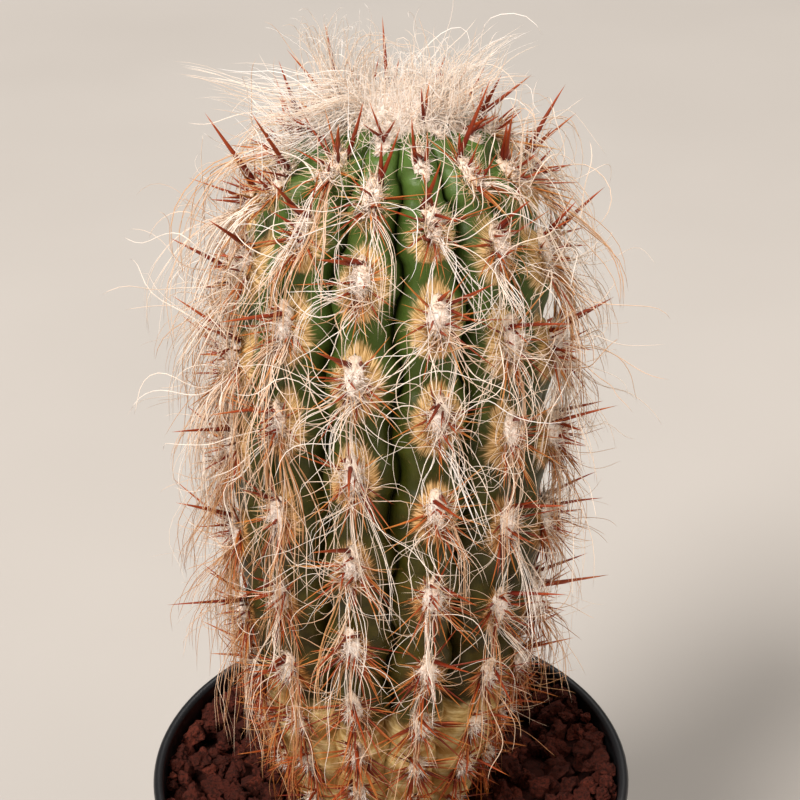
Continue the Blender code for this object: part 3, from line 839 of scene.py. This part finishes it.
def make_spines(areoles, buds, look):
    """Dark central spines that stand out of each areole, and a star of radial ones."""
    rng = np.random.default_rng(21)
    centrals, radials = Fibres(SPINE), Fibres(SPINE)
    for areole in areoles:
        slim = 1 - 0.3 * areole.depth
        sign = rng.choice((-1, 1))
        for k in range(int(rng.integers(5, 9))):
            first = k < 2
            sideways = rng.uniform(-0.6, 0.6) if first else sign * rng.uniform(0.0, 0.7) * (-1) ** k
            lift = rng.uniform(*((0.0, 0.8) if first else (-0.4, 0.4)))
            root = (-0.6, rng.uniform(-1.5, 1.5), rng.uniform(*((1.8, 2.8) if first else (-3.2, 1.6))))
            centrals.add(
                areole, root, (1, sideways, lift),
                rng.uniform(*((11, 18) if k == 0 else (3.5, 9))) * (1 - 0.25 * areole.age),
                areole.way(0, rng.uniform(-0.07, 0.07), rng.uniform(-0.08, 0.06)),
                width_mm=rng.uniform(*((0.9, 1.3) if first else (0.55, 0.85))) * slim,
                shade=rng.uniform(0, 0.2) + 0.15 * areole.age,
            )
        for _ in range(round(rng.uniform(9, 12) + 18 * areole.depth)):
            x, y = fan_way(85, rng)
            radials.add(
                areole, (-0.4, x * 1.6, y * 2.4 - 0.7), (rng.uniform(0.15, 0.8), x, y),
                rng.uniform(5, 12.5) * (1 + 0.1 * areole.depth - 0.2 * areole.age),
                areole.way(rng.uniform(-0.14, 0.06), rng.uniform(-0.1, 0.1), 0),
                width_mm=rng.uniform(0.38, 0.66), shade=rng.uniform(0.15, 0.8) - 0.35 * areole.depth,
            )
    for areole in buds:
        for _ in range(3):
            way = (1, rng.uniform(-0.6, 0.6), rng.uniform(-0.7, 0.5))
            centrals.add(
                areole, (-0.5, rng.uniform(-1, 1), rng.uniform(-1, 1)), way, rng.uniform(6, 11),
                areole.side * rng.uniform(-0.1, 0.1),
                width_mm=rng.uniform(0.6, 0.95), shade=rng.uniform(0, 0.25),
            )
    centrals.make("central_spines", centrals.widths_mm, SPINE_TAPER, 5, look)
    radials.make("radial_spines", radials.widths_mm, SPINE_TAPER, 3, look)


def make_bristles(areoles, look):
    """A fan of fine curved bristles round each areole, over a coat of short straight ones."""
    rng = np.random.default_rng(12)
    for name, places, count, *length_mm in BRISTLES:
        fibres = Fibres(places)
        for areole in areoles:
            kept = (1 - 0.3 * areole.youth) * (1 - 0.45 * areole.depth) * (1 - 0.6 * areole.age)
            for _ in range(round(count * kept)):
                x, y = fan_way(95, rng)
                far = rng.uniform(0.4, 1.6) * (1 - 0.35 * areole.depth)
                root = (-0.4 * far, x * 2.1 * far, (y * 3.4 - 1.0) * far)
                way = (rng.uniform(0.1, 1.4), x + rng.normal(0, 0.9), y * 0.9 + rng.normal(0, 0.9))
                bend = areole.way(-rng.uniform(0, 0.3), rng.uniform(-0.2, 0.2), 0)
                length = rng.uniform(*length_mm) / (0.6 + 0.5 * far)
                darker = 0.65 * areole.depth * (1 - 0.7 * max(y, 0)) + 0.2 * areole.age + 0.3 * max(-y, 0)
                fibres.add(areole, root, way, length, bend, np.clip(rng.uniform(-0.25, 0.4) + darker, 0, 1))
        fibres.make(name, rng.uniform(0.1, 0.2, len(fibres.paths)), 1 - 0.5 * places, 3, look)


def make_pads(areoles, look):
    """An oval pad of felt on each areole."""
    rng = np.random.default_rng(8)
    turn = TAU * np.arange(PAD_COLUMNS) / PAD_COLUMNS
    rise = np.linspace(0, 1, PAD_ROWS + 1)[:-1, None] * math.pi / 2
    ring = np.cos(rise)
    edge = np.append((ring * np.maximum(np.cos(turn), 0) ** 2).ravel(), 0)
    pads, shades = [], []
    for areole in areoles:
        wide, tall, thick = areole.pad_mm
        lump = 1 + 0.14 * rng.normal(0, 1, (PAD_ROWS, PAD_COLUMNS))
        side, up = wide * ring * np.sin(turn) * lump, tall * ring * np.cos(turn) * lump
        out = np.sin(rise) * thick - 0.5 + 0 * turn
        pad = areole.point(*(step[..., None] for step in (out, side, up))).reshape(-1, 3)
        pads.append(np.concatenate((pad, areole.point(thick - 0.5, 0, 0)[None])))
        shades.append(np.clip(0.5 * edge + 0.3 * areole.age + 0.2 * areole.youth, 0, 1))
    faces = capped_faces(PAD_ROWS, PAD_COLUMNS, len(pads), inward=True)
    mesh_object("areole_pads", np.array(pads), faces, look, "white_wool", shade=shades)


def make_felt(areoles, look):
    """Short fibres that stand out of each pad and cover it."""
    rng = np.random.default_rng(9)
    for name, places, count in FELT:
        fibres = Fibres(places)
        for areole in areoles:
            wide, tall, thick = areole.pad_mm
            for _ in range(count):
                at, far = rng.uniform(0, TAU), math.sqrt(rng.uniform(0, 1))
                x, y = math.sin(at) * far, math.cos(at) * far
                root = ((1 - far**2) * thick * 0.8 - 0.3, x * wide * 0.95, y * tall * 0.95)
                way = (1, x * 1.3 + rng.normal(0, 0.5), y * 1.1 + rng.normal(0, 0.5))
                length = rng.uniform(1.0, 2.4) * (1 + 0.4 * max(y, 0) * far)
                bend = 0.7 * unit(rng.normal(0, 1, 3))
                tan = 0.6 * max(y, 0) * far + 0.2 * areole.age + 0.15 * areole.youth
                shade = np.clip(rng.uniform(-0.3, 0.2) + tan, 0, 1)
                fibres.add(areole, root, way, length, bend, shade)
        fibres.make(name, rng.uniform(0.18, 0.32, len(fibres.paths)), 1 - 0.6 * places, 3, look)


def make_wool_bed(look):
    """A low lumpy mound of felt on the crown."""
    ball, faces = icosphere(5)
    lump = 1 + 0.35 * noise_at(ball, 0.24) + 0.2 * noise_at(ball, 0.09, 5)
    reach = np.hypot(ball[:, 0], ball[:, 1]) * BED_REACH
    top = WOOL_THICK * np.maximum(ball[:, 2], 0) ** 0.7 * lump
    lift = np.where(ball[:, 2] > 0, top, -0.6 * MM) - CREST.drop_at(reach)
    verts = CROWN_TIP + np.column_stack((ball[:, :2] * BED_REACH * (0.7 + 0.3 * lump[:, None]), lift))
    bed = mesh_object("crown_wool_bed", verts, faces, look, "white_wool", shade=np.zeros(len(verts)))
    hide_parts("crown_wool")


def wool_lock(away, far, lean, length, count, curl, droop, rng):
    """Strands that leave the crown side by side, this far out, and close up to a point."""
    wave, phase, shade = rng.uniform(14, 28), rng.uniform(0, TAU, 2), rng.uniform(0, 0.3)
    toward = away * math.sin(lean) + UP * math.cos(lean)
    return [
        Strand(
            root=on_crown(away, far * WOOL_REACH, 1.2 * MM) + rng.normal(0, 1.8 * MM, 3) * (1, 1, 0.15),
            heading=unit(toward + rng.normal(0, curl * 1.3, 3)),
            length=length * rng.uniform(0.5, 1.1),
            curl=curl * rng.uniform(0.5, 2.4),
            wave=wave * rng.uniform(0.8, 1.2),
            phase=phase + rng.normal(0, 6 * curl, 2),
            shade=shade + rng.uniform(-0.1, 0.2),
            droop=droop * rng.uniform(0, 2),
            gather=rng.uniform(0.3, 0.85) * min(1, 0.1 / curl),
        )
        for _ in range(count)
    ]


def make_crown_wool(tree, look):
    """Locks that fan out of the crown, over a mat of short curly strands."""
    coat = Coat(tree, 17)
    rng = coat.rng
    for k in range(WOOL_LOCKS):
        far = math.sqrt((k + 0.5) / WOOL_LOCKS)
        angle = k * GOLDEN_ANGLE + rng.normal(0, 0.2)
        behind, aside = math.sin(angle) * far, abs(math.cos(angle)) * far
        lean = math.radians(max(48 + 34 * far - 8 * aside + rng.normal(0, 26), 46))
        length = rng.uniform(5, 9) * (1 + 0.8 * aside) * (1 - 0.2 * abs(behind))
        coat.add_clump(wool_lock(around(angle), far, lean, length, int(rng.integers(7, 12)), 0.3, 0.03, rng))
    for azimuth_deg, lean_deg, length, count in BRUSH_LOCKS:
        away, lean = around(math.radians(azimuth_deg)), math.radians(lean_deg)
        coat.add_clump(wool_lock(away, 0.5, lean, length, count, 0.08, 0.004, rng))
    for _ in range(WOOL_SINGLES):
        far, away = math.sqrt(rng.uniform(0, 1)), around(rng.uniform(0, TAU))
        coat.add_clump([Strand(
            root=on_crown(away, far * WOOL_REACH, 1.5 * MM),
            heading=unit(away * far * 0.8 + UP * 0.2 + rng.normal(0, 0.8, 3) * (1, 1, 0.3)),
            length=rng.uniform(7, 18), curl=rng.uniform(0.2, 0.5), wave=rng.uniform(9, 20),
            phase=rng.uniform(0, TAU, 2), shade=rng.uniform(0, 0.4), hug=0.06, hover=rng.uniform(1, 5),
        )])
    paths, shade = coat.grow(12)
    tubes("crown_wool_strands", paths, hair_radii(paths, rng, WOOL_WIDTH), 3, look, shade)


def pot_outer_radius(height):
    """The tapered wall's outer radius, below the collar."""
    return FOOT_RADIUS + (WALL_RADIUS - COLLAR_STEP - FOOT_RADIUS) * height / COLLAR_LEVEL


def pot_profile():
    """From the middle of the inside, over the rim, to the middle of the underside."""
    floor, collar, wall, bead = FOOT_LIFT + POT_WALL, COLLAR_LEVEL, WALL_RADIUS, RIM_BEAD / 2
    inside = [
        (0, floor), (pot_outer_radius(floor) - POT_WALL, floor),
        (pot_outer_radius(collar - COLLAR_BLEND) - POT_WALL, collar - COLLAR_BLEND),
        (wall - POT_WALL, collar + COLLAR_BLEND / 2),
    ]
    turns = [math.radians(degrees) for degrees in range(200, -50, -15)]
    rim = [(wall + math.cos(turn) * bead, POT_HEIGHT - bead + math.sin(turn) * bead) for turn in turns]
    outside = [
        (wall, POT_HEIGHT - 1.6 * RIM_BEAD), (wall, collar),
        (pot_outer_radius(collar), collar - COLLAR_BLEND),
        (FOOT_RADIUS, FOOT_CHAMFER), (FOOT_RADIUS - FOOT_CHAMFER, 0), (FOOT_RADIUS - FOOT_WIDTH, 0),
        (FOOT_RADIUS - FOOT_WIDTH - FOOT_CHAMFER, FOOT_LIFT), (0, FOOT_LIFT),
    ]
    return inside + rim + outside


def applied(obj):
    """Makes the evaluated mesh the object's own."""
    graph = bpy.context.evaluated_depsgraph_get()
    made = bpy.data.meshes.new_from_object(obj.evaluated_get(graph))
    obj.modifiers.clear()
    obj.data = made


def cut_away(obj, bm, name):
    """Takes this bmesh out of the object, for good."""
    cutter = object_from(bm, name)
    boolean = obj.modifiers.new(name, "BOOLEAN")
    boolean.operation = "DIFFERENCE"
    boolean.object = cutter
    applied(obj)
    bpy.data.objects.remove(cutter)


def make_pot(look):
    """The pot, with its drain holes and its notched foot ring."""
    bm = bmesh.new()
    verts = [bm.verts.new((radius, 0, height)) for radius, height in pot_profile()]
    for first, second in zip(verts, verts[1:]):
        bm.edges.new((first, second))
    pot = object_from(bm, "pot_shell")
    screw = pot.modifiers.new("turn", "SCREW")
    screw.steps = screw.render_steps = POT_STEPS
    screw.use_merge_vertices = True
    screw.merge_threshold = 0.01 * MM
    applied(pot)
    holes = bmesh.new()
    for hole in range(DRAIN_HOLES):
        middle = Vector(around(TAU * (hole + 0.5) / DRAIN_HOLES, DRAIN_CIRCLE, FOOT_LIFT))
        bmesh.ops.create_cone(
            holes, cap_ends=True, segments=24, radius1=DRAIN_RADIUS, radius2=DRAIN_RADIUS,
            depth=4 * POT_WALL, matrix=Matrix.Translation(middle),
        )
    cut_away(pot, holes, "drain_holes")
    for degrees in (45, 135):
        notch = bmesh.new()
        size = Matrix.Diagonal((3 * FOOT_RADIUS, FOOT_NOTCH, 2 * NOTCH_HEIGHT, 1))
        bmesh.ops.create_cube(notch, size=1, matrix=Matrix.Rotation(math.radians(degrees), 4, "Z") @ size)
        cut_away(pot, notch, "foot_notch")
    pot.data.materials.clear()
    pot.data.materials.append(look.material)
    pot.data.shade_smooth()
    pot.data.set_sharp_from_angle(angle=math.radians(28))
    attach(pot, "root")
    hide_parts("pot")


def stone_spots(smallest, largest, count, rng):
    """[(spot, radius)] over the grit, none too near another, the first along the wall."""
    inner = CREST.at(ALONG_TO_GRIT)[0] + 0.3 * MM
    spots = []
    for k in range(count * 14):
        radius = smallest + (largest - smallest) * rng.uniform(0, 1) ** 1.5
        reach = GRIT_WALL - radius * 0.8
        if k > count:
            reach = math.sqrt(rng.uniform((inner + radius * 0.7) ** 2, reach**2))
        near_stem = 1 - (reach - inner) / (GRIT_WALL - inner)
        spot = around(rng.uniform(0, TAU), reach)[:2] + STEM_FOOT[:2] * near_stem
        if all(np.hypot(*(spot - other)) > 0.72 * (radius + size) for other, size in spots):
            spots.append((spot, radius))
        if len(spots) == count:
            break
    return spots


def make_stone(ball, spot, radius, height, rng):
    """A ball cut by a few planes, broken up by noise, and put in its place."""
    shape = ball * rng.uniform(0.7, 1.2, 3)
    for _ in range(STONE_CUTS):
        normal = unit(rng.normal(0, 1, 3))
        over = np.maximum(shape @ normal - rng.uniform(0.45, 0.85), 0)
        shape = shape - over[:, None] * normal * 0.9
    seed = rng.uniform(0, 90)
    rough = sum(share * noise_at(shape, size, seed) for share, size in STONE_NOISE)
    spin = np.array(Matrix.Rotation(rng.uniform(0, TAU), 3, unit(rng.normal(0, 1, 3)).tolist()))
    reach = np.hypot(*spot)
    behind = 0.5 + 0.5 * float(spot @ BANK_WAY) / reach
    bank = (WALL_RISE + BANK_RISE * behind) * float(ramp(reach, 38 * MM, GRIT_WALL))
    lift = GRIT_LEVEL + height + bank + rng.normal(0, 0.5 * MM)
    return (shape * (1 + rough[:, None])) @ spin.T * radius + (*spot, lift)


def make_grit(look):
    """Layers of lava lumps, over a bed in the darkest stone tone, painted shade, that closes the gaps between
    them.
    """
    rng = np.random.default_rng(4)
    for name, height, smallest, largest, count, detail in STONE_LAYERS:
        ball, ball_faces = icosphere(detail)
        spots = stone_spots(smallest, largest, count, rng)
        stones = np.array([make_stone(ball, spot, radius, height, rng) for spot, radius in spots])
        shades = np.repeat(rng.beta(2, 2.5, len(stones)), len(ball))
        faces = copies_of(ball_faces, len(stones), len(ball))
        lumps = mesh_object(name, stones, faces, look, "lava_grit", shade=shades)
        lumps.data.shade_flat()
    rings = ((14 * MM, -4 * MM), (22 * MM, -BED_DEPTH), (GRIT_WALL, -BED_DEPTH), (GRIT_WALL, -12 * MM))
    turns = TAU * np.arange(BED_STEPS) / BED_STEPS
    verts = np.concatenate([around(turns, radius, GRIT_LEVEL + height) for radius, height in rings])
    faces = ring_faces(len(rings), BED_STEPS, inward=True).tolist()
    # The bed gets the darkest stone tone: painted shade deep between the lumps.
    bed = mesh_object("grit_bed", verts, faces, look, "lava_grit", shade=np.zeros(len(verts)))
    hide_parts("grit")


def make_camera():
    camera = linked("camera", bpy.data.cameras.new("camera"))
    camera.data.lens = LENS_MM
    camera.data.sensor_width = SENSOR_MM
    camera.location = CAMERA_PLACE
    camera.rotation_euler = (math.radians(CAMERA_TILT_DEG), 0, 0)
    bpy.context.scene.camera = camera


def make_studio():
    """A pale floor, three large soft lights and a pale sky."""
    look = Look("floor_paper", Roughness=0.9)
    look.paint(look.ramp(look.noise(3, 3), [(0.3, 0.47, 0.45, 0.42), (0.7, 0.52, 0.5, 0.47)]))
    bm = bmesh.new()
    bmesh.ops.create_grid(bm, x_segments=1, y_segments=1, size=FLOOR_HALF)
    floor = object_from(bm, "floor")
    floor.data.materials.append(look.material)

    for name, place, size, power, colour in LIGHTS:
        lamp = linked(name, bpy.data.lights.new(name, "AREA"))
        lamp.data.shape = "DISK"
        lamp.data.size = size
        lamp.data.energy = power
        lamp.data.color = colour
        lamp.location = place
        lamp.rotation_euler = (Vector(LIGHT_TARGET) - Vector(place)).to_track_quat("-Z", "Y").to_euler()
        lamp.visible_camera = False
    world = bpy.data.worlds.new("studio")
    bpy.context.scene.world = world
    world.use_nodes = True
    sky = world.node_tree.nodes["Background"]
    sky.inputs["Color"].default_value = SKY_COLOUR
    sky.inputs["Strength"].default_value = SKY_STRENGTH
    bpy.context.scene.view_settings.view_transform = "Standard"


def main():
    make_camera()
    make_studio()
    tree = make_skin(skin_look())
    areoles = [Areole(*place) for place in SPIRAL]
    buds = [
        Areole((FIRST_AREOLE_RIB - RIB_STEP * k) % RIBS, FIRST_AREOLE - BUD_PITCH * k)
        for k in range(1, BUDS + 1)
    ]
    hair, felt = hair_look(), felt_look()
    third = len(areoles) // 3
    parts = {"upper": areoles[:third], "middle": areoles[third:2 * third], "lower": areoles[2 * third:]}
    for seed, (name, kept) in enumerate(itertools.product(parts, HAIR_COATS)):
        grow_hairs(name, kept, parts[name], tree, hair, 31 + seed)
    make_spines(areoles, buds, spine_look())
    make_bristles(areoles, bristle_look())
    make_pads(areoles + buds, felt)
    make_felt(areoles + buds, felt)
    make_wool_bed(felt)
    make_crown_wool(tree, hair)
    make_pot(plastic_look())
    make_grit(grit_look())


main()
